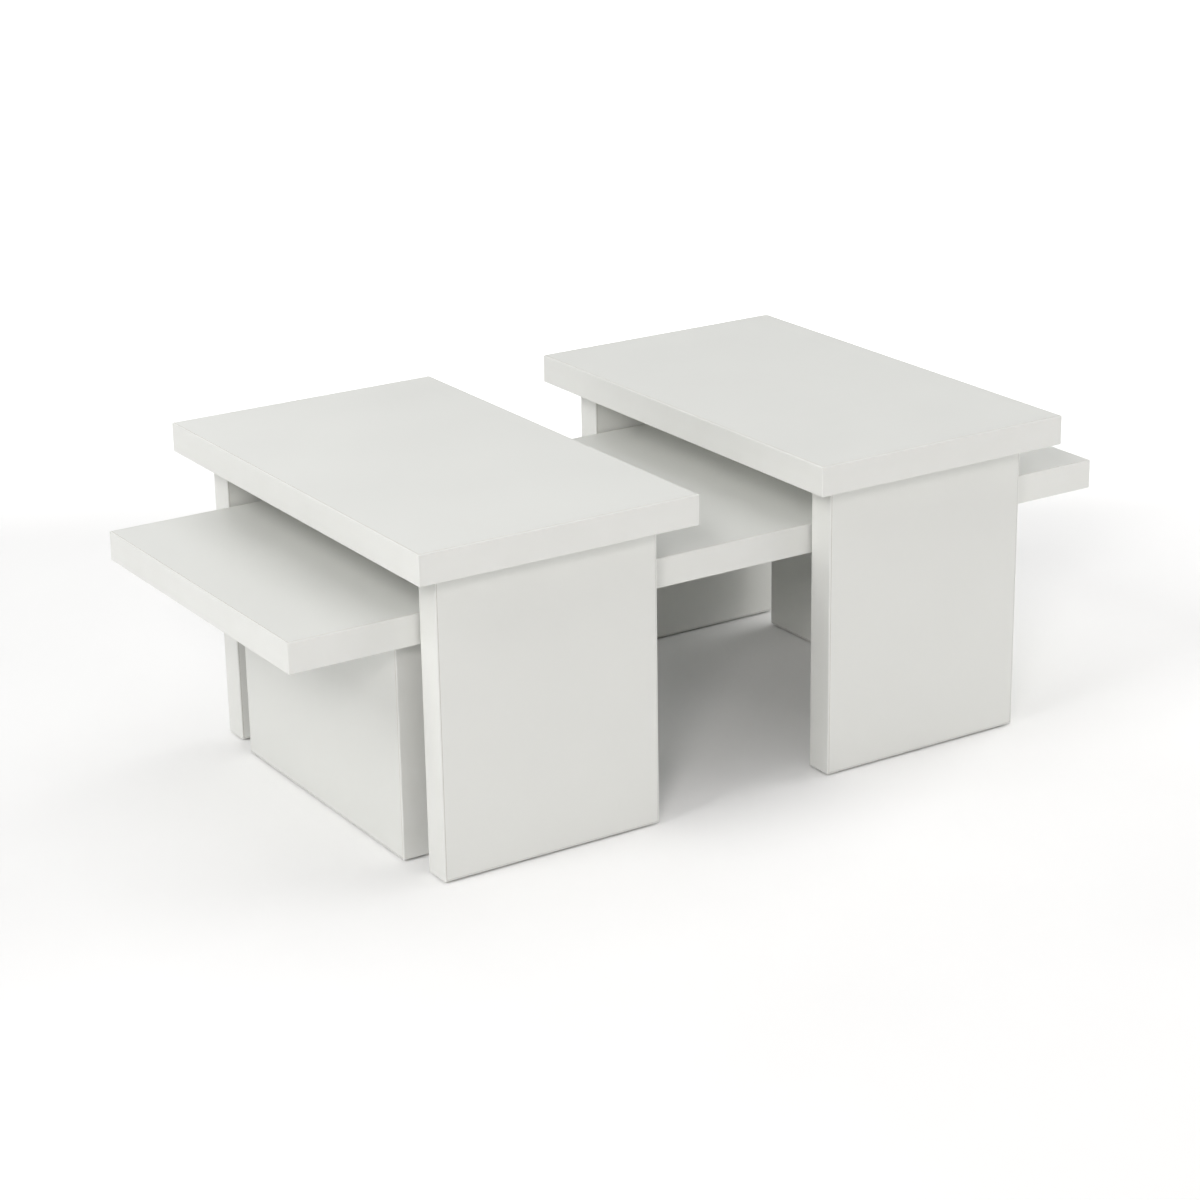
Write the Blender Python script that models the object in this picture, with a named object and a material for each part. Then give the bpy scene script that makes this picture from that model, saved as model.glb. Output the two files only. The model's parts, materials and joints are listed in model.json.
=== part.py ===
"""Nesting coffee tables: a long low table, and two taller ones that straddle it and slide along its length.

Metres, +Z up. +X runs along the low table's length, to its right end, and +Y points to the back. The origin
is on the floor, under the middle of the low table. All three tables are made the same way: a top on two slab
legs, boards of one thickness with banded edges, joined by cam fittings and dowels, on felt strips.
"""

import math
from collections import namedtuple

import bmesh
import bpy
from mathutils import Matrix, Vector

# Boards, their edges and what is under them
BOARD = 0.036  # thickness of every top and leg
BAND = 0.002  # edge banding on a board's narrow faces
BAND_ROUND = 0.0015  # rounding of the banding's outer edges
FELT = 0.002  # felt strip under each leg
FELT_INSET = 0.006  # from the leg's faces to the felt
SEAT = 0.0003  # gap left between pieces that touch

# Tall tables, which stand across the low one
TALL_LENGTH = 0.600
TALL_DEPTH = 0.356
TALL_HEIGHT = 0.400
TALL_END_INSET = 0.032  # from the top's end to the leg's outer face
TALL_SIDE_INSET = 0.036  # from the top's long side to the leg's edge

# Low table, which fits between the tall tables' legs and under their tops
SIDE_CLEARANCE = 0.0045  # from the low top's long side to a tall leg
TOP_CLEARANCE = 0.058  # from the low top up to a tall top
LOW_LENGTH = 1.116
LOW_DEPTH = TALL_LENGTH - 2 * (TALL_END_INSET + BOARD + SIDE_CLEARANCE)
LOW_HEIGHT = TALL_HEIGHT - BOARD - TOP_CLEARANCE
LOW_END_INSET = 0.148
LOW_SIDE_INSET = 0.036

# Where the tall tables stand at rest: from the low table's middle to the near side of each
LEFT_FROM_MIDDLE = 0.081
RIGHT_FROM_MIDDLE = 0.088

# Cam fittings and dowels, two of each in a leg's top end, on the middle of its thickness
DOWEL_FROM_EDGE = 0.037  # from the leg's edge to the dowel
CAM_FROM_DOWEL = 0.032
CAM_DROP = 0.024  # from the leg's top end down to the cam's axis
CAM_BORE = 0.0075  # bores, necks and heads are given by their radii
BOLT_BORE = 0.004
PILOT_BORE = 0.0025  # for the bolt's thread, in the top
PILOT_DEPTH = 0.012
BOLT_NECK = 0.0017
BOLT_HEAD = 0.0032
HEAD_HALF = 0.0035  # half the length of the bolt's head
HEAD_TAPER = 0.0015
DOWEL_BORE = 0.004
DOWEL_IN_TOP = 0.012
DOWEL_IN_LEG = 0.024
CHAMFER = 0.0008  # on the ends of cams, bolts and dowels
PLAY = 0.0005  # round a bolt's stem, neck and head, and at a dowel's ends
CAM_END_WALL = 0.0005  # between the pocket for the bolt's head and the cam's far end
CAM_PAST_AXIS = BOLT_HEAD + PLAY + CAM_END_WALL + SEAT  # depth of the cam's bore past the board's middle
CROSS_LENGTH = 0.0085  # screwdriver cross in the cam's face
CROSS_WIDTH = 0.0015
CROSS_DEPTH = 0.0025

# How finely round shapes are made
CAM_SIDES = 20
SMALL_SIDES = 12
ROUND_STEPS = 2
OVERSHOOT = 0.001  # how far a cutter reaches out of the piece that it cuts
SAME_POINT = 1e-6
SHARP_ANGLE = math.radians(35)

Table = namedtuple("Table", "name length depth height end_inset side_inset middle_x turn")
TABLES = (
    Table("low_table", LOW_LENGTH, LOW_DEPTH, LOW_HEIGHT, LOW_END_INSET, LOW_SIDE_INSET, 0.0, 0.0),
    Table("left_table", TALL_LENGTH, TALL_DEPTH, TALL_HEIGHT, TALL_END_INSET, TALL_SIDE_INSET,
          -LEFT_FROM_MIDDLE - TALL_DEPTH / 2, math.pi / 2),
    Table("right_table", TALL_LENGTH, TALL_DEPTH, TALL_HEIGHT, TALL_END_INSET, TALL_SIDE_INSET,
          RIGHT_FROM_MIDDLE + TALL_DEPTH / 2, math.pi / 2),
)


def finish(name, colour, roughness, metallic=0.0):
    material = bpy.data.materials.new(name)
    material.use_nodes = True
    shader = material.node_tree.nodes["Principled BSDF"]
    shader.inputs["Base Color"].default_value = (*colour, 1.0)
    shader.inputs["Roughness"].default_value = roughness
    shader.inputs["Metallic"].default_value = metallic
    return material


def mesh_of(name, shape):
    """Turns a bmesh into a mesh with its faces pointing out, shaded smooth where it is round."""
    bmesh.ops.remove_doubles(shape, verts=shape.verts, dist=SAME_POINT)
    bmesh.ops.recalc_face_normals(shape, faces=shape.faces)
    mesh = bpy.data.meshes.new(name)
    shape.to_mesh(mesh)
    shape.free()
    smooth(mesh)
    return mesh


def smooth(mesh):
    mesh.shade_smooth()
    mesh.set_sharp_from_angle(angle=SHARP_ANGLE)


def place(name, mesh, parent=None, location=(0, 0, 0), rotation=(0, 0, 0)):
    """Adds an object, or an empty where there is no mesh, on its parent."""
    piece = bpy.data.objects.new(name, mesh)
    bpy.context.scene.collection.objects.link(piece)
    piece.parent = parent
    piece.location = location
    piece.rotation_euler = rotation
    return piece


def painted(mesh, material):
    mesh.materials.clear()
    mesh.materials.append(material)
    return mesh


def box(low, high):
    """A box from its lowest corner to its highest."""
    low, high = Vector(low), Vector(high)
    shape = bmesh.new()
    bmesh.ops.create_cube(shape, size=1.0)
    bmesh.ops.scale(shape, vec=high - low, verts=shape.verts)
    bmesh.ops.translate(shape, vec=(low + high) / 2, verts=shape.verts)
    return shape


def turned(profile, sides):
    """A profile of (radius, height) points, with both ends on the axis, turned about Z."""
    shape = bmesh.new()
    points = [shape.verts.new((radius, 0, height)) for radius, height in profile]
    edges = [shape.edges.new(pair) for pair in zip(points, points[1:])]
    bmesh.ops.spin(shape, geom=points + edges, cent=(0, 0, 0), axis=(0, 0, 1), angle=2 * math.pi,
                   steps=sides, use_merge=True)
    return shape


def peg(radius, low, high, sides, middle=(0, 0, 0), along_x=False):
    """A plain round peg about an axis through middle, along Z or X, from low to high on that axis."""
    shape = turned([(0, high), (radius, high), (radius, low), (0, low)], sides)
    if along_x:
        bmesh.ops.rotate(shape, matrix=Matrix.Rotation(math.pi / 2, 3, "Y"), verts=shape.verts)
    bmesh.ops.translate(shape, vec=middle, verts=shape.verts)
    return shape


def carved(shape, cutters):
    """The mesh of a shape with the cutters taken out of it."""
    body = place("body", mesh_of("body", shape))
    tools = [place("tool", mesh_of("tool", cutter)) for cutter in cutters]
    for tool in tools:
        cut = body.modifiers.new("cut", "BOOLEAN")
        cut.object = tool
    graph = bpy.context.evaluated_depsgraph_get()
    mesh = bpy.data.meshes.new_from_object(body.evaluated_get(graph))
    for used in [body] + tools:
        bpy.data.objects.remove(used)
    smooth(mesh)
    return mesh


def edge_band(outer, inner, closed):
    """Banding as wide as a board is thick, between two outlines in XY, with its outer edges rounded."""
    shape = bmesh.new()
    outside = [shape.verts.new((*point, 0)) for point in outer]
    inside = [shape.verts.new((*point, 0)) for point in inner]
    runs = list(zip(range(len(outer)), range(1, len(outer))))
    if closed:
        runs.append((len(outer) - 1, 0))
    for start, end in runs:
        shape.faces.new((outside[start], outside[end], inside[end], inside[start]))
    grown = bmesh.ops.extrude_face_region(shape, geom=shape.faces[:])["geom"]
    raised = [item for item in grown if isinstance(item, bmesh.types.BMVert)]
    bmesh.ops.translate(shape, vec=(0, 0, BOARD), verts=raised)

    ends = [] if closed else [Vector(outer[0]), Vector(outer[-1])]

    def at_any(vertex, places):
        return any((vertex.co.xy - Vector(point)).length < SAME_POINT for point in places)

    def is_rounded(edge):
        is_outer = all(at_any(vertex, outer) for vertex in edge.verts)
        return is_outer and not all(at_any(vertex, ends) for vertex in edge.verts)

    bmesh.ops.bevel(shape, geom=list(filter(is_rounded, shape.edges)), offset=BAND_ROUND,
                    segments=ROUND_STEPS, profile=0.5, affect="EDGES")
    return mesh_of("edge_band", shape)


def rectangle(length, depth):
    x, y = length / 2, depth / 2
    return [(-x, -y), (x, -y), (x, y), (-x, y)]


def make_cam():
    """A cam along X, its face at x = 0. The bolt's head lies in a pocket, and its neck in a narrow slot."""
    length = BOARD / 2 + CAM_PAST_AXIS - SEAT
    radius = CAM_BORE - SEAT
    drum = turned([(0, length), (radius, length), (radius, CHAMFER), (radius - CHAMFER, 0), (0, 0)],
                  CAM_SIDES)
    bmesh.ops.rotate(drum, matrix=Matrix.Rotation(math.pi / 2, 3, "Y"), verts=drum.verts)
    middle = (BOARD / 2, 0, 0)
    reach = radius + OVERSHOOT
    half, width = CROSS_LENGTH / 2, CROSS_WIDTH / 2
    return carved(drum, [
        peg(BOLT_HEAD + PLAY, -reach, HEAD_HALF + PLAY, SMALL_SIDES, middle),
        peg(BOLT_NECK + PLAY, 0, reach, SMALL_SIDES, middle),
        box((-OVERSHOOT, -width, -half), (CROSS_DEPTH, width, half)),
        box((-OVERSHOOT, -half, -width), (CROSS_DEPTH, half, width)),
    ])


def make_bolt():
    """A cam bolt on Z, with z = 0 at the leg's top end: a thread above it, a stem and a head below."""
    thread = PILOT_BORE - SEAT
    stem = BOLT_BORE - PLAY
    head_top = HEAD_HALF - CAM_DROP
    head_end = -HEAD_HALF - CAM_DROP
    return mesh_of("bolt", turned([
        (0, PILOT_DEPTH), (thread - CHAMFER, PILOT_DEPTH), (thread, PILOT_DEPTH - CHAMFER), (thread, 0),
        (stem, 0), (stem, CAM_BORE - CAM_DROP), (BOLT_NECK, CAM_BORE - CAM_DROP), (BOLT_NECK, head_top),
        (BOLT_HEAD, head_top - HEAD_TAPER), (BOLT_HEAD, head_end + HEAD_TAPER), (BOLT_NECK, head_end),
        (0, head_end),
    ], SMALL_SIDES))


def make_dowel():
    """A wooden dowel on Z, with z = 0 at the leg's top end."""
    radius = DOWEL_BORE - SEAT
    high = SEAT + DOWEL_IN_TOP - PLAY
    low = PLAY - DOWEL_IN_LEG
    return mesh_of("dowel", turned([
        (0, high), (radius - CHAMFER, high), (radius, high - CHAMFER),
        (radius, low + CHAMFER), (radius - CHAMFER, low), (0, low),
    ], SMALL_SIDES))


def fitting_places(width):
    """How far from a leg's middle its dowels and its cams are."""
    dowel = width / 2 - DOWEL_FROM_EDGE
    return dowel, dowel - CAM_FROM_DOWEL


def make_top(table, leg_middle, leg_width):
    """A table's top board, drilled from below for the bolts and dowels of both legs."""
    under = table.height - BOARD
    x = table.length / 2 - BAND - SEAT
    y = table.depth / 2 - BAND - SEAT
    dowel, cam = fitting_places(leg_width)
    cutters = []
    for leg_x in (-leg_middle, leg_middle):
        for side in (-1, 1):
            at_dowel = (leg_x, side * dowel, under)
            at_bolt = (leg_x, side * cam, under)
            cutters.append(peg(DOWEL_BORE, -OVERSHOOT, DOWEL_IN_TOP, SMALL_SIDES, at_dowel))
            cutters.append(peg(PILOT_BORE, -OVERSHOOT, PILOT_DEPTH, SMALL_SIDES, at_bolt))
    return carved(box((-x, -y, under), (x, y, table.height)), cutters)


def make_leg(width, top_end):
    """A leg board, drilled for its cams from its inner face, at -X, and for bolts and dowels from above."""
    x = BOARD / 2
    y = width / 2 - BAND - SEAT
    foot = FELT + SEAT + BAND + SEAT
    dowel, cam = fitting_places(width)
    cutters = []
    for side in (-1, 1):
        at_dowel = (0, side * dowel, top_end)
        at_cam = (0, side * cam, top_end - CAM_DROP)
        cutters.append(peg(DOWEL_BORE, -DOWEL_IN_LEG, OVERSHOOT, SMALL_SIDES, at_dowel))
        cutters.append(peg(BOLT_BORE, 0, CAM_DROP + OVERSHOOT, SMALL_SIDES, at_cam))
        cutters.append(peg(CAM_BORE, -x - OVERSHOOT, CAM_PAST_AXIS, CAM_SIDES, at_cam, along_x=True))
    return carved(box((-x, -y, foot), (x, y, top_end)), cutters)


def make_leg_band(width, top_end):
    """A leg's banding, down one edge, under it and up the other, in a frame that place turns upright."""
    y = width / 2
    foot = FELT + SEAT
    outer = [(-y, top_end), (-y, foot), (y, foot), (y, top_end)]
    inner = [(-y + BAND, top_end), (-y + BAND, foot + BAND), (y - BAND, foot + BAND), (y - BAND, top_end)]
    return edge_band(outer, inner, closed=False)


def side_of(frame, direction):
    """The side of the object that a direction of this frame points to."""
    world = frame.matrix_world.to_3x3() @ Vector(direction)
    if abs(world.x) > abs(world.y):
        return "right" if world.x > 0 else "left"
    return "back" if world.y > 0 else "front"


def build_table(table):
    frame = place(table.name, None, None, (table.middle_x, 0, 0), (0, 0, table.turn))
    top_end = table.height - BOARD - SEAT
    leg_width = table.depth - 2 * table.side_inset
    leg_middle = table.length / 2 - table.end_inset - BOARD / 2

    top = make_top(table, leg_middle, leg_width)
    place(f"{table.name}_top", painted(top, MELAMINE), frame)
    top_band = edge_band(rectangle(table.length, table.depth),
                         rectangle(table.length - 2 * BAND, table.depth - 2 * BAND), closed=True)
    place(f"{table.name}_top_edge_band", painted(top_band, BANDING), frame, (0, 0, table.height - BOARD))

    for outward in (-1, 1):
        turn = 0 if outward > 0 else math.pi
        leg_frame = place(f"{table.name}_leg_frame", None, frame, (outward * leg_middle, 0, 0), (0, 0, turn))
        bpy.context.view_layer.update()
        leg = f"{table.name}_{side_of(leg_frame, (1, 0, 0))}_leg"
        build_leg(leg, leg_frame, leg_width, top_end)


def build_leg(leg, frame, width, top_end):
    """A leg and all that is fixed to it. The frame's +X points out of the table."""
    place(leg, painted(make_leg(width, top_end), MELAMINE), frame)
    place(f"{leg}_edge_band", painted(make_leg_band(width, top_end), BANDING), frame, (-BOARD / 2, 0, 0),
          (math.pi / 2, 0, math.pi / 2))
    x, y = BOARD / 2 - FELT_INSET, width / 2 - FELT_INSET
    place(f"{leg}_felt", painted(mesh_of("felt", box((-x, -y, 0), (x, y, FELT))), FELT_GREY), frame)
    dowel, cam = fitting_places(width)
    for side in (-1, 1):
        fitting = f"{leg}_{side_of(frame, (0, side, 0))}"
        place(f"{fitting}_dowel", DOWEL_MESH, frame, (0, side * dowel, top_end))
        place(f"{fitting}_bolt", BOLT_MESH, frame, (0, side * cam, top_end))
        place(f"{fitting}_cam", CAM_MESH, frame, (-BOARD / 2, side * cam, top_end - CAM_DROP))


for old in list(bpy.data.objects):
    bpy.data.objects.remove(old)

MELAMINE = finish("white_melamine", (0.80, 0.80, 0.77), 0.45)
BANDING = finish("white_edge_banding", (0.82, 0.82, 0.79), 0.40)
FELT_GREY = finish("grey_felt", (0.22, 0.21, 0.20), 0.95)
CAM_MESH = painted(make_cam(), finish("zinc_cam", (0.55, 0.55, 0.53), 0.45, 1.0))
BOLT_MESH = painted(make_bolt(), finish("steel_bolt", (0.60, 0.60, 0.58), 0.35, 1.0))
DOWEL_MESH = painted(make_dowel(), finish("beech_dowel", (0.55, 0.38, 0.22), 0.70))

for each in TABLES:
    build_table(each)
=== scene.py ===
import json
import math

import bpy
from mathutils import Matrix, Vector

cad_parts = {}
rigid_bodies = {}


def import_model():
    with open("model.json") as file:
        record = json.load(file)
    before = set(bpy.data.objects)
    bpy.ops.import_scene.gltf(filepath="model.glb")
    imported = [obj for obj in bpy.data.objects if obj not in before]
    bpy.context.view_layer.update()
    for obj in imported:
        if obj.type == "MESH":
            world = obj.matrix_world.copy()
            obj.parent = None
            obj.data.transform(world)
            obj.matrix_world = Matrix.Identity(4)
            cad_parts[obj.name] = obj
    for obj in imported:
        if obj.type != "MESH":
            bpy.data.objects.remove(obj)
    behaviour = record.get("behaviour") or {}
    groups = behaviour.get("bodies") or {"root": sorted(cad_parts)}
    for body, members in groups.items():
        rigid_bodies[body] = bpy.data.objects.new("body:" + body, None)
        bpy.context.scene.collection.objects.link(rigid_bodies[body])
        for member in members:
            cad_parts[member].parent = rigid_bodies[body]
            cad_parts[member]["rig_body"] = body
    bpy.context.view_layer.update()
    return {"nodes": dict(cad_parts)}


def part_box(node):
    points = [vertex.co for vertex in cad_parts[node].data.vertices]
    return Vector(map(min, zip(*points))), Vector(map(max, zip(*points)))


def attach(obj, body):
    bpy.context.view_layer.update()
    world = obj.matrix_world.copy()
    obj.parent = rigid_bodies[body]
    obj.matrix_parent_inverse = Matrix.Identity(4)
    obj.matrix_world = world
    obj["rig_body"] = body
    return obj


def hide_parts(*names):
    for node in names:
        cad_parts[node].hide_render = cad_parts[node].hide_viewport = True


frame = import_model()


# ------------------------------------------------------------------------------------------------
# Boards: three table tops and six slab legs of 36 mm chipboard. White melamine paper is pressed on
# both broad faces, with a satin finish and a fine pearl texture. Saw cuts and the walls of drilled
# holes are bare chipboard.
# ------------------------------------------------------------------------------------------------
X, Y, Z = 0, 1, 2
TABLES = ("low_table", "left_table", "right_table")
nodes = frame["nodes"]
LEGS = tuple(name for name in nodes if name.endswith("_leg"))
MELAMINE_WHITE = (0.735, 0.742, 0.712)
MELAMINE_CLOUD = (0.722, 0.729, 0.700)
MELAMINE_ROUGHNESS = (0.40, 0.50)
MELAMINE_PATCHES = 5  # cells of a pattern to the metre, as in every material here
MELAMINE_SHEEN = 9
MELAMINE_PEARL = 900
MELAMINE_PEARL_DEPTH = 0.00002
MELAMINE_WAVE = 160
MELAMINE_WAVE_DEPTH = 0.00002
CHIP_LIGHT = (0.58, 0.44, 0.29)
CHIP_DARK = (0.27, 0.18, 0.10)
CHIP_ROUGHNESS = (0.8, 0.95)
CHIPS = 420
CHIP_DEPTH = 0.0004
CHIP_DUST = 500
CHIP_FIBRES = 1500
CHIP_FIBRE_DEPTH = 0.0002
SAME_PLACE = 1e-5


def new_material(name, metallic=0.0, specular=0.5):
    """A material, its node tree and its shader."""
    material = bpy.data.materials.new(name)
    material.use_nodes = True
    shader = material.node_tree.nodes["Principled BSDF"]
    shader.inputs["Metallic"].default_value = metallic
    shader.inputs["Specular IOR Level"].default_value = specular
    return material, material.node_tree, shader


def add(tree, kind, inputs, **settings):
    """The first output of a new node. Each of its inputs takes a value or another node's output."""
    made = tree.nodes.new(kind)
    for name, value in settings.items():
        setattr(made, name, value)
    for name, value in inputs.items():
        if isinstance(value, bpy.types.NodeSocket):
            tree.links.new(value, made.inputs[name])
        else:
            made.inputs[name].default_value = value
    return made.outputs[0]


def metres(tree, stretch=(1, 1, 1)):
    """Places on the object, in metres, multiplied along each axis."""
    coordinates = tree.nodes.new("ShaderNodeTexCoord").outputs["Object"]
    return add(tree, "ShaderNodeMapping", {"Vector": coordinates, "Scale": stretch})


def clouds(tree, per_metre, detail=2.0, stretch=(1, 1, 1), distortion=0.0):
    """A noise pattern. Stretch below 1 draws it out along that axis."""
    return add(tree, "ShaderNodeTexNoise", {"Vector": metres(tree, stretch), "Scale": per_metre,
                                            "Detail": detail, "Distortion": distortion})


def spread(tree, value, low, high, from_low=0.3, from_high=0.7):
    """A pattern's value, brought between two others."""
    return add(tree, "ShaderNodeMapRange", {"Value": value, "From Min": from_low, "From Max": from_high,
                                            "To Min": low, "To Max": high})


def tint(tree, value, first, second, from_low=0.3, from_high=0.7):
    """A colour between two, by a pattern's value."""
    ramp = tree.nodes.new("ShaderNodeValToRGB")
    tree.links.new(value, ramp.inputs["Fac"])
    ramp.color_ramp.elements[0].position = from_low
    ramp.color_ramp.elements[0].color = (*first, 1)
    ramp.color_ramp.elements[1].position = from_high
    ramp.color_ramp.elements[1].color = (*second, 1)
    return ramp.outputs["Color"]


def relief(tree, heights):
    """A normal from several patterns, each with its depth in metres."""
    normal = None
    for pattern, depth in heights:
        inputs = {"Height": pattern, "Distance": depth, "Strength": 1.0}
        if normal:
            inputs["Normal"] = normal
        normal = add(tree, "ShaderNodeBump", inputs)
    return normal


def wire(tree, shader, **outputs):
    """Links outputs to the shader's inputs, named with _ for a space."""
    for name, output in outputs.items():
        tree.links.new(output, shader.inputs[name.replace("_", " ")])


def melamine():
    material, tree, shader = new_material("white_melamine")
    wire(tree, shader,
         Base_Color=tint(tree, clouds(tree, MELAMINE_PATCHES, 4), MELAMINE_WHITE, MELAMINE_CLOUD),
         Roughness=spread(tree, clouds(tree, MELAMINE_SHEEN, 6, distortion=0.6), *MELAMINE_ROUGHNESS),
         Normal=relief(tree, [(clouds(tree, MELAMINE_PEARL), MELAMINE_PEARL_DEPTH),
                              (clouds(tree, MELAMINE_WAVE, 1), MELAMINE_WAVE_DEPTH)]))
    return material


def chipboard():
    material, tree, shader = new_material("raw_chipboard", specular=0.2)
    chips = tree.nodes.new("ShaderNodeTexVoronoi")
    tree.links.new(metres(tree), chips.inputs["Vector"])
    chips.inputs["Scale"].default_value = CHIPS
    chip_tone = add(tree, "ShaderNodeSeparateColor", {"Color": chips.outputs["Color"]})
    wire(tree, shader,
         Base_Color=tint(tree, chip_tone, CHIP_DARK, CHIP_LIGHT, 0.0, 1.0),
         Roughness=spread(tree, clouds(tree, CHIP_DUST), *CHIP_ROUGHNESS),
         Normal=relief(tree, [(chips.outputs["Distance"], CHIP_DEPTH),
                              (clouds(tree, CHIP_FIBRES, 3), CHIP_FIBRE_DEPTH)]))
    return material


def thin_axis(name):
    low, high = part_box(name)
    return min((X, Y, Z), key=lambda axis: high[axis] - low[axis])


def face_board(name):
    """Puts melamine on a board's broad faces, and leaves its narrow faces and holes bare."""
    board = nodes[name].data
    low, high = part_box(name)
    across = thin_axis(name)
    board.materials.clear()
    board.materials.append(MELAMINE)
    board.materials.append(CHIPBOARD)
    for face in board.polygons:
        levels = [board.vertices[corner].co[across] for corner in face.vertices]
        on_low = max(levels) - low[across] < SAME_PLACE
        on_high = high[across] - min(levels) < SAME_PLACE
        face.material_index = 0 if on_low or on_high else 1


MELAMINE = melamine()
CHIPBOARD = chipboard()
for table in TABLES:
    face_board(f"{table}_top")
for leg in LEGS:
    face_board(leg)


# ------------------------------------------------------------------------------------------------
# Edge banding: 2 mm strips of white plastic, glued on every narrow face and scraped to a rounded
# edge. On a top, the two long strips cover the ends of the short ones. On a leg, the upright strips
# cover the ends of the strip underneath.
# ------------------------------------------------------------------------------------------------
BAND_WHITE = (0.750, 0.755, 0.728)
BAND_WORN = (0.738, 0.743, 0.712)
BAND_ROUGHNESS = (0.33, 0.45)
BAND_PATCHES = 30
BAND_SHEEN = 300
BAND_SCRAPES = 1200
BAND_SCRAPE_DEPTH = 0.000015
BAND_WAVE = 60
BAND_WAVE_DEPTH = 0.00004
DRAWN_OUT = 0.03  # stretches the scraper marks along the strip
GLUE_SEAM = 0.0003  # between a board and its banding
BUTT_SEAM = 0.00015  # between two strips that meet
BAND_ROUND = 0.0015
BAND_ROUND_SEGMENTS = 5
SMOOTH_ANGLE = math.radians(40)
SIDE_NAMES = {(X, -1): "left", (X, 1): "right", (Y, -1): "front", (Y, 1): "back", (Z, -1): "bottom"}


def only(piece):
    """Selects one piece and makes it active."""
    bpy.ops.object.select_all(action="DESELECT")
    piece.select_set(True)
    bpy.context.view_layer.objects.active = piece


def named(name):
    """Names the active object and its mesh, and puts its place and size into the mesh."""
    piece = bpy.context.object
    piece.name = name
    piece.data.name = name
    bpy.ops.object.transform_apply(location=True, rotation=True, scale=True)
    return piece


def block(name, low, high):
    bpy.ops.object.select_all(action="DESELECT")
    bpy.ops.mesh.primitive_cube_add(size=1, location=(low + high) / 2, scale=high - low)
    return named(name)


def pick(piece, mode, chosen):
    """Goes to edit mode with the chosen edges or faces selected."""
    only(piece)
    bpy.ops.object.mode_set(mode="EDIT")
    bpy.ops.mesh.select_mode(type=mode)
    bpy.ops.mesh.select_all(action="DESELECT")
    bpy.ops.object.mode_set(mode="OBJECT")
    for item in piece.data.edges if mode == "EDGE" else piece.data.polygons:
        item.select = chosen(item)
    bpy.ops.object.mode_set(mode="EDIT")


def apply_modifier(piece, kind, **settings):
    only(piece)
    modifier = piece.modifiers.new(kind.lower(), kind)
    for name, value in settings.items():
        setattr(modifier, name, value)
    bpy.ops.object.modifier_apply(modifier=modifier.name)


def shade(piece):
    """Smooth shading on the round parts that leaves the flat faces flat."""
    only(piece)
    bpy.ops.object.shade_smooth_by_angle(angle=SMOOTH_ANGLE)
    apply_modifier(piece, "WEIGHTED_NORMAL", keep_sharp=True)


def fit(piece, material, body, node):
    """Gives a finished piece its material and its body, and hides the CAD node that it stands for."""
    piece.data.materials.clear()
    piece.data.materials.append(material)
    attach(piece, body)
    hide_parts(node)


def banding(name, stretch):
    """White plastic with fine scraper marks along the strip."""
    material, tree, shader = new_material(name)
    wire(tree, shader,
         Base_Color=tint(tree, clouds(tree, BAND_PATCHES, 3), BAND_WHITE, BAND_WORN),
         Roughness=spread(tree, clouds(tree, BAND_SHEEN, 3, stretch), *BAND_ROUGHNESS),
         Normal=relief(tree, [(clouds(tree, BAND_SCRAPES, 2, stretch), BAND_SCRAPE_DEPTH),
                              (clouds(tree, BAND_WAVE), BAND_WAVE_DEPTH)]))
    return material


def band_strip(name, low, high, outward, plain_ends, body, node):
    """A strip between two corners, rounded on its outer edges but not where it meets another piece."""
    piece = block(name, low, high)
    square = [(outward[0], -outward[1])] + plain_ends

    def lies_in(edge, side):
        axis, direction = side
        level = high[axis] if direction > 0 else low[axis]
        return all(abs(piece.data.vertices[end].co[axis] - level) < SAME_PLACE for end in edge.vertices)

    pick(piece, "EDGE", lambda edge: not any(lies_in(edge, side) for side in square))
    bpy.ops.mesh.bevel(offset=BAND_ROUND, segments=BAND_ROUND_SEGMENTS, profile=0.5, affect="EDGES")
    bpy.ops.object.mode_set(mode="OBJECT")
    shade(piece)
    size = high - low
    along = max((X, Y, Z), key=lambda axis: size[axis])
    fit(piece, BANDING[along], body, node)
    return piece


def strip_corners(low, high, side, thickness):
    """The corners of a strip that lies along one side of a box."""
    axis, direction = side
    strip_low, strip_high = low.copy(), high.copy()
    if direction > 0:
        strip_low[axis] = high[axis] - thickness
    else:
        strip_high[axis] = low[axis] + thickness
    return strip_low, strip_high


def band_top(table):
    """Four strips round a top. The short ones stop between the long ones."""
    node = f"{table}_top_edge_band"
    low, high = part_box(node)
    board_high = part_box(f"{table}_top")[1]
    thickness = high.x - board_high.x - GLUE_SEAM
    long_axis = max((X, Y), key=lambda axis: high[axis] - low[axis])
    short_axis = Y if long_axis == X else X
    for direction in (-1, 1):
        side = (short_axis, direction)
        strip_low, strip_high = strip_corners(low, high, side, thickness)
        band_strip(f"{table}_top_{SIDE_NAMES[side]}_band", strip_low, strip_high, side, [], table, node)

        side = (long_axis, direction)
        strip_low, strip_high = strip_corners(low, high, side, thickness)
        strip_low[short_axis] += thickness + BUTT_SEAM
        strip_high[short_axis] -= thickness + BUTT_SEAM
        ends = [(short_axis, -1), (short_axis, 1)]
        band_strip(f"{table}_top_{SIDE_NAMES[side]}_band", strip_low, strip_high, side, ends, table, node)


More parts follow.
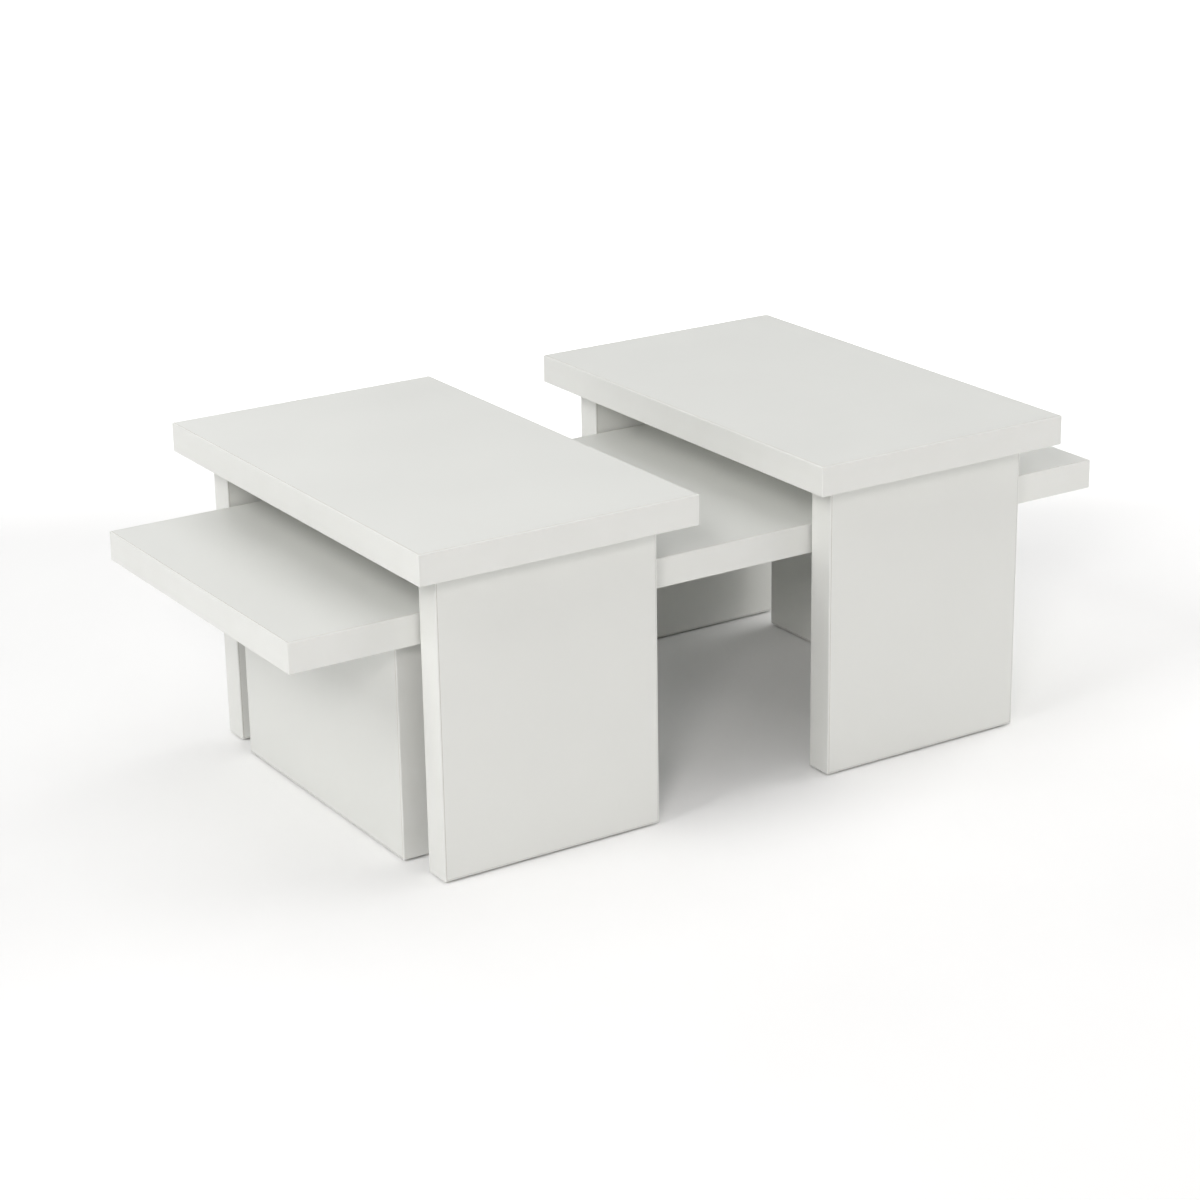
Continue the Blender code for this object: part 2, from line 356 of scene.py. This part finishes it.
def band_leg(leg):
    """Two upright strips on a leg, and one between them underneath."""
    node = f"{leg}_edge_band"
    body = nodes[leg]["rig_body"]
    low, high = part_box(node)
    board_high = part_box(leg)[1]
    width_axis = Y if thin_axis(leg) == X else X
    thickness = high[width_axis] - board_high[width_axis] - GLUE_SEAM
    for direction in (-1, 1):
        side = (width_axis, direction)
        strip_low, strip_high = strip_corners(low, high, side, thickness)
        band_strip(f"{leg}_{SIDE_NAMES[side]}_band", strip_low, strip_high, side, [(Z, 1)], body, node)

    side = (Z, -1)
    strip_low, strip_high = strip_corners(low, high, side, thickness)
    strip_low[width_axis] += thickness + BUTT_SEAM
    strip_high[width_axis] -= thickness + BUTT_SEAM
    ends = [(width_axis, -1), (width_axis, 1)]
    band_strip(f"{leg}_{SIDE_NAMES[side]}_band", strip_low, strip_high, side, ends, body, node)


BANDING = {X: banding("white_banding_along_x", (DRAWN_OUT, 1, 1)),
           Y: banding("white_banding_along_y", (1, DRAWN_OUT, 1)),
           Z: banding("white_banding_along_z", (1, 1, DRAWN_OUT))}
for table in TABLES:
    band_top(table)
for leg in LEGS:
    band_leg(leg)


# ------------------------------------------------------------------------------------------------
# Glue lines: the hot-melt glue that holds the banding fills the seam along each board's narrow
# faces. It lies a little below the surface, and dust has darkened it.
# ------------------------------------------------------------------------------------------------
GLUE_LIGHT = (0.26, 0.24, 0.20)
GLUE_DARK = (0.15, 0.14, 0.12)
GLUE_ROUGHNESS = (0.45, 0.7)
GLUE_PATCHES = 250
GLUE_SHEEN = 400
GLUE_GRAIN = 1500
GLUE_GRAIN_DEPTH = 0.00005
GLUE_PLAY = 0.00002  # left beside the glue, so that no faces coincide
GLUE_RECESS = 0.00012


def glue():
    material, tree, shader = new_material("banding_glue", specular=0.4)
    wire(tree, shader,
         Base_Color=tint(tree, clouds(tree, GLUE_PATCHES, 3), GLUE_DARK, GLUE_LIGHT),
         Roughness=spread(tree, clouds(tree, GLUE_SHEEN), *GLUE_ROUGHNESS),
         Normal=relief(tree, [(clouds(tree, GLUE_GRAIN), GLUE_GRAIN_DEPTH)]))
    return material


def glue_line(board, sides, body):
    """A skin of glue on the given sides of a board."""
    low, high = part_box(board)
    across = thin_axis(board)
    outer_low, outer_high = low.copy(), high.copy()
    for axis, direction in sides:
        if direction > 0:
            outer_high[axis] += GLUE_SEAM - GLUE_PLAY
        else:
            outer_low[axis] -= GLUE_SEAM - GLUE_PLAY
    outer_low[across] += GLUE_RECESS
    outer_high[across] -= GLUE_RECESS
    piece = block(f"{board}_glue_line", outer_low, outer_high)

    def is_open(face):
        axis = max((X, Y, Z), key=lambda number: abs(face.normal[number]))
        return (axis, 1 if face.normal[axis] > 0 else -1) not in sides

    pick(piece, "FACE", is_open)
    bpy.ops.mesh.delete(type="FACE")
    bpy.ops.object.mode_set(mode="OBJECT")
    apply_modifier(piece, "SOLIDIFY", thickness=GLUE_SEAM - 2 * GLUE_PLAY, offset=-1,
                   use_even_offset=True)
    piece.data.materials.append(GLUE)
    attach(piece, body)


GLUE = glue()
for table in TABLES:
    glue_line(f"{table}_top", [(X, -1), (X, 1), (Y, -1), (Y, 1)], table)
for leg in LEGS:
    width_axis = Y if thin_axis(leg) == X else X
    glue_line(leg, [(width_axis, -1), (width_axis, 1), (Z, -1)], nodes[leg]["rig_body"])


# ------------------------------------------------------------------------------------------------
# Cam bolts: turned steel, plated with zinc. The coarse thread is screwed into the underside of the
# top, and the head at the lower end sits in a cam in the leg.
# ------------------------------------------------------------------------------------------------
ZINC_COOL = (0.58, 0.60, 0.63)
ZINC_WARM = (0.66, 0.63, 0.55)
PLATING_ROUGHNESS = (0.22, 0.38)
PLATING_PATCHES = 180
PLATING_SHEEN = 600
TOOL_MARKS = 2500
TOOL_MARK_DEPTH = 0.00002
TURNED = (0.05, 0.05, 1)  # draws the tool marks out round the bolt
PLATING_GRAIN = 1800
PLATING_GRAIN_DEPTH = 0.00001
FITTING_SIDES = 48
BOLT_HEAD_RADIUS = 0.0032
BOLT_HEAD_LENGTH = 0.007
BOLT_HEAD_TAPER = 0.0015
BOLT_NECK_RADIUS = 0.0017
BOLT_NECK_LENGTH = 0.004
BOLT_STEM_RADIUS = 0.0035
BOLT_CHAMFER = 0.0005
THREAD_CORE = 0.0018
THREAD_CREST = 0.00238
THREAD_PITCH = 0.0018
THREAD_TURNS = 5
THREAD_STEPS = 36
THREAD_POINT = 0.0015  # length of the tapered end
THREAD_POINT_RADIUS = 0.0009


def plated_steel():
    material, tree, shader = new_material("zinc_plated_steel", metallic=1.0)
    wire(tree, shader,
         Base_Color=tint(tree, clouds(tree, PLATING_PATCHES, 3), ZINC_COOL, ZINC_WARM),
         Roughness=spread(tree, clouds(tree, PLATING_SHEEN, 3), *PLATING_ROUGHNESS),
         Normal=relief(tree, [(clouds(tree, TOOL_MARKS, 2, TURNED), TOOL_MARK_DEPTH),
                              (clouds(tree, PLATING_GRAIN), PLATING_GRAIN_DEPTH)]))
    return material


def close():
    """Turns every face outwards and leaves edit mode."""
    bpy.ops.mesh.select_all(action="SELECT")
    bpy.ops.mesh.normals_make_consistent(inside=False)
    bpy.ops.object.mode_set(mode="OBJECT")


def turned_up(name, profile, sides):
    """A turned piece: a disc, extruded upwards from one (radius, height) to the next."""
    (radius, height), *rest = profile
    bpy.ops.object.select_all(action="DESELECT")
    bpy.ops.mesh.primitive_circle_add(vertices=sides, radius=radius, fill_type="NGON",
                                      location=(0, 0, height))
    piece = named(name)
    pick(piece, "FACE", lambda face: True)
    for next_radius, next_height in rest:
        bpy.ops.mesh.extrude_region_move(TRANSFORM_OT_translate={"value": (0, 0, next_height - height)})
        share = next_radius / radius
        bpy.ops.transform.resize(value=(share, share, 1), center_override=(0, 0, next_height))
        radius, height = next_radius, next_height
    close()
    return piece


def combine(piece, tool, operation):
    """Joins a tool to a piece, or cuts it out, and takes the tool away."""
    apply_modifier(piece, "BOOLEAN", object=tool, operation=operation, solver="EXACT")
    bpy.data.objects.remove(tool)


def placed_copy(model, name, turn, place):
    """A copy of a modelled piece, with its turn and place in a mesh of its own."""
    only(model)
    bpy.ops.object.duplicate(linked=False)
    bpy.context.object.matrix_world = Matrix.Translation(place) @ turn
    return named(name)


def fittings(kind):
    """Each CAD node of a kind, with its leg."""
    return [(node, leg) for leg in LEGS for node in nodes
            if node.startswith(f"{leg}_") and node.endswith(f"_{kind}")]


def bolt_model(below, above):
    """A bolt that reaches below and above z = 0, which is the leg's upper end."""
    head_end = -below
    neck = head_end + BOLT_HEAD_LENGTH
    stem = neck + BOLT_NECK_LENGTH
    bolt = turned_up("bolt_model", [
        (BOLT_NECK_RADIUS, head_end), (BOLT_HEAD_RADIUS, head_end + BOLT_HEAD_TAPER),
        (BOLT_HEAD_RADIUS, neck - BOLT_HEAD_TAPER), (BOLT_NECK_RADIUS, neck), (BOLT_NECK_RADIUS, stem),
        (BOLT_STEM_RADIUS - BOLT_CHAMFER, stem), (BOLT_STEM_RADIUS, stem + BOLT_CHAMFER),
        (BOLT_STEM_RADIUS, -BOLT_CHAMFER), (BOLT_STEM_RADIUS - BOLT_CHAMFER, 0), (THREAD_CORE, 0),
        (THREAD_CORE, above - THREAD_POINT), (THREAD_POINT_RADIUS, above)], FITTING_SIDES)
    combine(bolt, thread_ridge(above), "UNION")
    shade(bolt)
    return bolt


def thread_ridge(above):
    """The thread alone: a triangle swept in a helix, with its base sunk in the bolt's core."""
    depth = 2 * (THREAD_CREST - THREAD_CORE)
    radius = depth / 1.5  # of the circle round a triangle that deep
    start = (above - THREAD_POINT - THREAD_PITCH * THREAD_TURNS) / 2
    bpy.ops.object.select_all(action="DESELECT")
    bpy.ops.mesh.primitive_circle_add(vertices=3, radius=radius, rotation=(math.pi / 2, math.pi / 2, 0),
                                      location=(THREAD_CREST - radius, 0, start))
    ridge = named("thread_ridge")
    apply_modifier(ridge, "SCREW", axis="Z", screw_offset=THREAD_PITCH, iterations=THREAD_TURNS,
                   steps=THREAD_STEPS, render_steps=THREAD_STEPS)
    pick(ridge, "EDGE", lambda edge: True)
    bpy.ops.mesh.fill_holes(sides=3)
    close()
    return ridge


STEEL = plated_steel()
bolts = fittings("bolt")
bolt_low, bolt_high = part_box(bolts[0][0])
leg_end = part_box(bolts[0][1])[1].z
model = bolt_model(leg_end - bolt_low.z, bolt_high.z - leg_end)
for node, leg in bolts:
    low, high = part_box(node)
    middle = (low + high) / 2
    piece = placed_copy(model, f"{node}_plated", Matrix(), Vector((middle.x, middle.y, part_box(leg)[1].z)))
    fit(piece, STEEL, nodes[leg]["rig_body"], node)
bpy.data.objects.remove(model)


# ------------------------------------------------------------------------------------------------
# Cams: die-cast zinc drums, pressed into the inner faces of the legs. Turning the cross in a cam's
# face pulls the bolt's head down, and the leg up against the top. The arrow points to the bolt.
# ------------------------------------------------------------------------------------------------
CAST_LIGHT = (0.56, 0.56, 0.55)
CAST_DULL = (0.42, 0.42, 0.41)
CAST_ROUGHNESS = (0.34, 0.55)
CAST_PATCHES = 350
CAST_SHEEN = 500
CAST_GRAIN = 2200
CAST_GRAIN_DEPTH = 0.00004
CAST_FLOW = 500
CAST_FLOW_DEPTH = 0.00006
CAM_RADIUS = 0.00735
CAM_EDGE = 0.0003
CAM_EDGE_SEGMENTS = 3
CAM_RIM = 0.0009
CAM_DISH = 0.0003  # depth of the face inside the rim
CROSS_LENGTH = 0.0085
CROSS_WIDTH = 0.0016
CROSS_DEPTH = 0.0028
CROSS_TAPER = 0.75
ARROW_RADIUS = 0.0008
ARROW_PLACE = 0.0054
POCKET_RADIUS = 0.0037
POCKET_END = 0.004
SLOT_RADIUS = 0.0022
BEYOND = 0.001  # how far a cutter reaches out of the piece
STRAIGHT = 0.999  # a face looks up or down where its normal's Z passes this


def cast_zinc():
    material, tree, shader = new_material("cast_zinc", metallic=1.0)
    wire(tree, shader,
         Base_Color=tint(tree, clouds(tree, CAST_PATCHES, 4), CAST_DULL, CAST_LIGHT),
         Roughness=spread(tree, clouds(tree, CAST_SHEEN, 3), *CAST_ROUGHNESS),
         Normal=relief(tree, [(clouds(tree, CAST_GRAIN, 3), CAST_GRAIN_DEPTH),
                              (clouds(tree, CAST_FLOW), CAST_FLOW_DEPTH)]))
    return material


def peg_along_x(name, radius, start, end, depth):
    """A round cutter along X, at a depth under the cam's face."""
    bpy.ops.object.select_all(action="DESELECT")
    bpy.ops.mesh.primitive_cylinder_add(vertices=FITTING_SIDES, radius=radius, depth=end - start,
                                        rotation=(0, math.pi / 2, 0),
                                        location=((start + end) / 2, 0, -depth))
    return named(name)


def cross_arm(length, width):
    """One bar of the cross, narrower at its lower end."""
    arm = block("cross_arm", Vector((-length / 2, -width / 2, -CROSS_DEPTH)),
                Vector((length / 2, width / 2, BEYOND)))
    pick(arm, "FACE", lambda face: face.normal.z < -STRAIGHT)
    bpy.ops.transform.resize(value=(CROSS_TAPER, CROSS_TAPER, 1), center_override=(0, 0, -CROSS_DEPTH))
    bpy.ops.object.mode_set(mode="OBJECT")
    return arm


def cam_model(length, bolt_depth):
    """A cam with its face at z = 0, looking up, and its bolt coming from +X at that depth."""
    bpy.ops.object.select_all(action="DESELECT")
    bpy.ops.mesh.primitive_cylinder_add(vertices=FITTING_SIDES, radius=CAM_RADIUS, depth=length,
                                        location=(0, 0, -length / 2))
    cam = named("cam_model")

    def is_level(edge):
        first, second = (cam.data.vertices[end].co.z for end in edge.vertices)
        return abs(first - second) < SAME_PLACE

    pick(cam, "EDGE", is_level)
    bpy.ops.mesh.bevel(offset=CAM_EDGE, segments=CAM_EDGE_SEGMENTS, affect="EDGES")
    bpy.ops.object.mode_set(mode="OBJECT")
    pick(cam, "FACE", lambda face: face.normal.z > STRAIGHT)
    bpy.ops.mesh.inset(thickness=CAM_RIM)
    bpy.ops.mesh.inset(thickness=CAM_DISH)
    bpy.ops.transform.translate(value=(0, 0, -CAM_DISH))
    close()
    reach = CAM_RADIUS + BEYOND
    combine(cam, peg_along_x("pocket", POCKET_RADIUS, -reach, POCKET_END, bolt_depth), "DIFFERENCE")
    combine(cam, peg_along_x("slot", SLOT_RADIUS, 0, reach, bolt_depth), "DIFFERENCE")
    combine(cam, cross_arm(CROSS_LENGTH, CROSS_WIDTH), "DIFFERENCE")
    combine(cam, cross_arm(CROSS_WIDTH, CROSS_LENGTH), "DIFFERENCE")
    bpy.ops.object.select_all(action="DESELECT")
    bpy.ops.mesh.primitive_cylinder_add(vertices=3, radius=ARROW_RADIUS, depth=2 * CAM_DISH,
                                        rotation=(0, 0, -math.pi / 2),
                                        location=(ARROW_PLACE, 0, -CAM_DISH))
    combine(cam, named("arrow"), "DIFFERENCE")
    shade(cam)
    return cam


ZINC = cast_zinc()
cams = fittings("cam")
cam_low, cam_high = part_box(cams[0][0])
leg_low, leg_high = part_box(cams[0][1])
across = thin_axis(cams[0][1])
model = cam_model(cam_high[across] - cam_low[across], (leg_high[across] - leg_low[across]) / 2)
for node, leg in cams:
    low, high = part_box(node)
    leg_low, leg_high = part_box(leg)
    across = thin_axis(leg)
    on_high = leg_high[across] - high[across] < low[across] - leg_low[across]
    face = (low + high) / 2
    face[across] = high[across] if on_high else low[across]
    outwards = Vector((0, 0, 0))
    outwards[across] = 1 if on_high else -1
    upwards = Vector((0, 0, 1))
    turn = Matrix((upwards, outwards.cross(upwards), outwards)).transposed().to_4x4()
    piece = placed_copy(model, f"{node}_cast", turn, face)
    fit(piece, ZINC, nodes[leg]["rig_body"], node)
bpy.data.objects.remove(model)


# ------------------------------------------------------------------------------------------------
# Dowels: fluted beech pins that keep each leg in line with the top. They go 24 mm into the leg and
# 12 mm into the top, and the flutes let air and glue out.
# ------------------------------------------------------------------------------------------------
BEECH_LIGHT = (0.60, 0.41, 0.25)
BEECH_DARK = (0.41, 0.25, 0.13)
BEECH_ROUGHNESS = (0.6, 0.8)
BEECH_RAYS = 900
BEECH_SHEEN = 700
BEECH_PORES = 2500
BEECH_PORE_DEPTH = 0.0001
ALONG_RAYS = (1, 1, 0.04)  # draws the pattern out along the pin
ALONG_SHEEN = (1, 1, 0.1)
ALONG_PORES = (1, 1, 0.03)
DOWEL_RADIUS = 0.0038
DOWEL_CHAMFER = 0.0008
FLUTE_SHARE = 0.93  # radius in a flute, as a share of the dowel's
CORNERS_PER_FLUTE = 3


def beech():
    material, tree, shader = new_material("beech", specular=0.3)
    wire(tree, shader,
         Base_Color=tint(tree, clouds(tree, BEECH_RAYS, 4, ALONG_RAYS), BEECH_DARK, BEECH_LIGHT),
         Roughness=spread(tree, clouds(tree, BEECH_SHEEN, 2, ALONG_SHEEN), *BEECH_ROUGHNESS),
         Normal=relief(tree, [(clouds(tree, BEECH_PORES, 2, ALONG_PORES), BEECH_PORE_DEPTH)]))
    return material


def dowel_model(below, above):
    """A dowel that reaches below and above z = 0, which is the leg's upper end."""
    end_share = (DOWEL_RADIUS - DOWEL_CHAMFER) / DOWEL_RADIUS
    bpy.ops.object.select_all(action="DESELECT")
    bpy.ops.mesh.primitive_circle_add(vertices=FITTING_SIDES, radius=DOWEL_RADIUS, fill_type="NGON",
                                      location=(0, 0, -below))
    dowel = named("dowel_model")
    for corner in dowel.data.vertices:
        if corner.index % CORNERS_PER_FLUTE == 0:
            corner.co.xy *= FLUTE_SHARE
    pick(dowel, "FACE", lambda face: True)
    bpy.ops.transform.resize(value=(end_share, end_share, 1), center_override=(0, 0, -below))
    for height, share in ((DOWEL_CHAMFER, 1 / end_share), (below + above - 2 * DOWEL_CHAMFER, 1),
                          (DOWEL_CHAMFER, end_share)):
        bpy.ops.mesh.extrude_region_move(TRANSFORM_OT_translate={"value": (0, 0, height)})
        bpy.ops.transform.resize(value=(share, share, 1), center_override=(0, 0, 0))
    close()
    shade(dowel)
    return dowel


BEECH = beech()
dowels = fittings("dowel")
dowel_low, dowel_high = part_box(dowels[0][0])
leg_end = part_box(dowels[0][1])[1].z
model = dowel_model(leg_end - dowel_low.z, dowel_high.z - leg_end)
for node, leg in dowels:
    low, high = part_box(node)
    middle = (low + high) / 2
    piece = placed_copy(model, f"{node}_fluted", Matrix(), Vector((middle.x, middle.y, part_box(leg)[1].z)))
    fit(piece, BEECH, nodes[leg]["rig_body"], node)
bpy.data.objects.remove(model)


# ------------------------------------------------------------------------------------------------
# Felt strips: pressed grey wool felt, cut from a roll and stuck under each leg, so that a table
# slides without marking the floor.
# ------------------------------------------------------------------------------------------------
FELT_LIGHT = (0.30, 0.29, 0.27)
FELT_DARK = (0.13, 0.125, 0.12)
FELT_ROUGHNESS = (0.88, 1.0)
FELT_SHEEN = 0.4
FELT_SHEEN_ROUGHNESS = 0.5
FELT_PATCHES = 200
FELT_FIBRES = 1400
FELT_FIBRE_DEPTH = 0.0003
FELT_LUMPS = 260
FELT_LUMP_DEPTH = 0.0004
FELT_CELL = 0.003
FELT_UNEVEN = 0.0002
FELT_SEED = 7
FELT_FOOT = 0.0002  # the uneven underside lies this far above the floor on average


def felt():
    material, tree, shader = new_material("grey_felt", specular=0.15)
    shader.inputs["Sheen Weight"].default_value = FELT_SHEEN
    shader.inputs["Sheen Roughness"].default_value = FELT_SHEEN_ROUGHNESS
    fibres = clouds(tree, FELT_FIBRES, 4, distortion=2.0)
    wire(tree, shader,
         Base_Color=tint(tree, fibres, FELT_DARK, FELT_LIGHT),
         Roughness=spread(tree, clouds(tree, FELT_PATCHES), *FELT_ROUGHNESS),
         Normal=relief(tree, [(fibres, FELT_FIBRE_DEPTH),
                              (clouds(tree, FELT_LUMPS, 3), FELT_LUMP_DEPTH)]))
    return material


def felt_strip(leg):
    node = f"{leg}_felt"
    low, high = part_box(node)
    size = high - low
    bpy.ops.object.select_all(action="DESELECT")
    bpy.ops.mesh.primitive_grid_add(x_subdivisions=round(size.x / FELT_CELL),
                                    y_subdivisions=round(size.y / FELT_CELL),
                                    size=1, location=(low + high) / 2)
    bpy.context.object.scale = (size.x, size.y, 1)
    piece = named(f"{leg}_felt_strip")
    apply_modifier(piece, "SOLIDIFY", thickness=size.z - 2 * FELT_FOOT, offset=0)
    only(piece)
    bpy.ops.object.mode_set(mode="EDIT")
    bpy.ops.mesh.select_all(action="SELECT")
    bpy.ops.transform.vertex_random(offset=FELT_UNEVEN, seed=FELT_SEED)
    bpy.ops.mesh.normals_make_consistent(inside=False)
    bpy.ops.object.mode_set(mode="OBJECT")
    bpy.ops.object.shade_smooth_by_angle(angle=SMOOTH_ANGLE)
    fit(piece, FELT, nodes[leg]["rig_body"], node)


FELT = felt()
for leg in LEGS:
    felt_strip(leg)


# ------------------------------------------------------------------------------------------------
# Studio: a pale floor and soft panels all round. The small key from the front left gives the soft
# shadow between the two tall tables, the low panel on the right lights the boards under their tops,
# and the backdrop panel faces away from the tables to keep the far floor pale.
# ------------------------------------------------------------------------------------------------
FLOOR_LIGHT = (0.93, 0.93, 0.925)
FLOOR_DARK = (0.91, 0.91, 0.905)
FLOOR_ROUGHNESS = (0.7, 0.8)
FLOOR_PATCHES = 2
FLOOR_SHEEN = 40
FLOOR_SIZE = 60
AMBIENT = 0.35
AIM = Vector((0, 0, 0.2))
NEUTRAL = (1, 1, 1)
WARM = (1, 0.965, 0.96)
PANELS = {  # place, aim, width, height, watts, colour
    "overhead_panel": ((0, 0, 4), AIM, 4, 4, 40, NEUTRAL),
    "left_panel": ((-3.82, -0.33, 3.41), AIM, 2, 2, 87, NEUTRAL),
    "key_panel": ((-2.92, -3.42, 2.39), AIM, 0.8, 0.8, 58, WARM),
    "front_right_panel": ((4.32, -2.30, 1.24), AIM, 2, 1.6, 47, WARM),
    "right_panel": ((4.5, -0.3, 2), AIM, 3, 3, 47, NEUTRAL),
    "low_right_panel": ((4.5, 0.5, 0.9), AIM, 3, 1.6, 76, NEUTRAL),
    "back_panel": ((0, 4.5, 2.5), AIM, 3, 3, 34, NEUTRAL),
    "backdrop_panel": ((1.6, 2.4, 3.5), Vector((4.6, 7.5, 0)), 7, 2, 700, NEUTRAL),
}
LENS = 88.85
SENSOR = 36
CAMERA_PLACE = Vector((-1.8452, -2.8601, 1.4020))
CAMERA_HEADING = math.radians(32.514)
CAMERA_DOWN = math.radians(19.886)
CAMERA_ROLL = math.radians(-0.946)


def floor_material():
    material, tree, shader = new_material("pale_floor", specular=0.2)
    wire(tree, shader,
         Base_Color=tint(tree, clouds(tree, FLOOR_PATCHES, 3), FLOOR_DARK, FLOOR_LIGHT),
         Roughness=spread(tree, clouds(tree, FLOOR_SHEEN), *FLOOR_ROUGHNESS))
    return material


bpy.ops.object.select_all(action="DESELECT")
bpy.ops.mesh.primitive_plane_add(size=FLOOR_SIZE, location=(0, 0, 0))
floor = named("floor")
floor.data.materials.append(floor_material())

for name, (place, aim, width, height, watts, colour) in PANELS.items():
    bpy.ops.object.light_add(type="AREA", location=place)
    panel = bpy.context.object
    panel.name = name
    panel.rotation_euler = (aim - Vector(place)).to_track_quat("-Z", "Y").to_euler()
    panel.visible_camera = False
    panel.data.shape = "RECTANGLE"
    panel.data.size = width
    panel.data.size_y = height
    panel.data.energy = watts
    panel.data.color = colour

world = bpy.data.worlds.new("studio")
bpy.context.scene.world = world
world.use_nodes = True
world.node_tree.nodes["Background"].inputs["Color"].default_value = (1, 1, 1, 1)
world.node_tree.nodes["Background"].inputs["Strength"].default_value = AMBIENT
bpy.context.scene.view_settings.view_transform = "Standard"

turn = (Matrix.Rotation(-CAMERA_HEADING, 4, "Z") @ Matrix.Rotation(math.pi / 2 - CAMERA_DOWN, 4, "X")
        @ Matrix.Rotation(CAMERA_ROLL, 4, "Z"))
bpy.ops.object.camera_add(location=CAMERA_PLACE, rotation=turn.to_euler())
camera = bpy.context.object
camera.data.lens = LENS
camera.data.sensor_width = SENSOR
camera.data.clip_end = 2 * FLOOR_SIZE
bpy.context.scene.camera = camera
